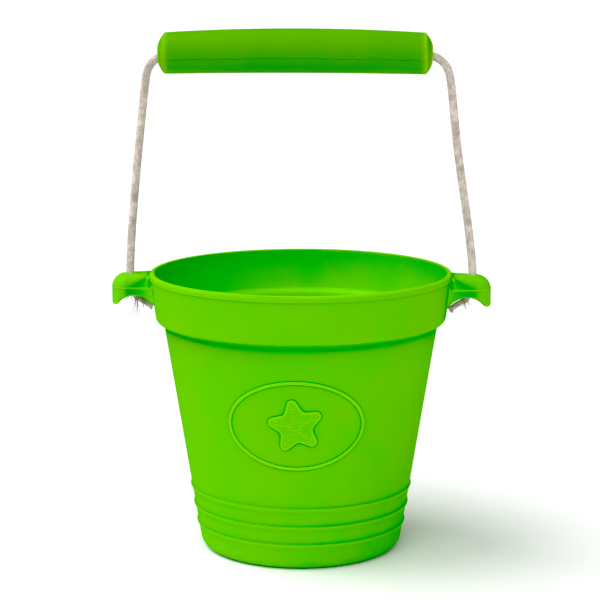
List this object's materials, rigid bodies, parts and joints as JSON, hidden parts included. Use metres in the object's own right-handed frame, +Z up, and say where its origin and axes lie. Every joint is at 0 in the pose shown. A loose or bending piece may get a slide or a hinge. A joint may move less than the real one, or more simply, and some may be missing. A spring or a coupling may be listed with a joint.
{
  "type": "sand bucket",
  "caption": "Tapered silicone sand bucket with a wide collar, two hooded ears and a knotted rope handle that carries a silicone grip.",
  "frame": {"origin": "centre of the flat ring that the bucket stands on", "axes": "+Z up, X through the two ears, the starfish badge faces -Y"},
  "size_m": [0.1658, 0.1318, 0.227],
  "materials": {
    "silicone_pail": "satin moulded silicone, lime green",
    "silicone_grip": "satin moulded silicone, lime green",
    "cotton_rope": "braided natural cotton",
    "frayed_yarn": "unravelled cotton yarns"
  },
  "bodies": {
    "bucket": {"bucket": "silicone_pail", "rope_in_left_ear": "cotton_rope", "rope_in_right_ear": "cotton_rope", "knot_left": "cotton_rope", "knot_right": "cotton_rope", "frayed_end_left": "frayed_yarn", "frayed_end_right": "frayed_yarn"},
    "handle": {"rope_left": "cotton_rope", "rope_right": "cotton_rope", "rope_in_grip": "cotton_rope"},
    "grip": {"grip": "silicone_grip"}
  },
  "joints": [
    {"name": "handle_swing", "type": "hinge", "parent": "bucket", "child": "handle", "pos_m": [0, 0, 0.125], "axis": [1, 0, 0], "range_deg": [-110, 110]},
    {"name": "grip_turn", "type": "hinge", "parent": "handle", "child": "grip", "pos_m": [-0.0025, 0, 0.2158], "axis": [1, 0, 0], "continuous": true}
  ]
}
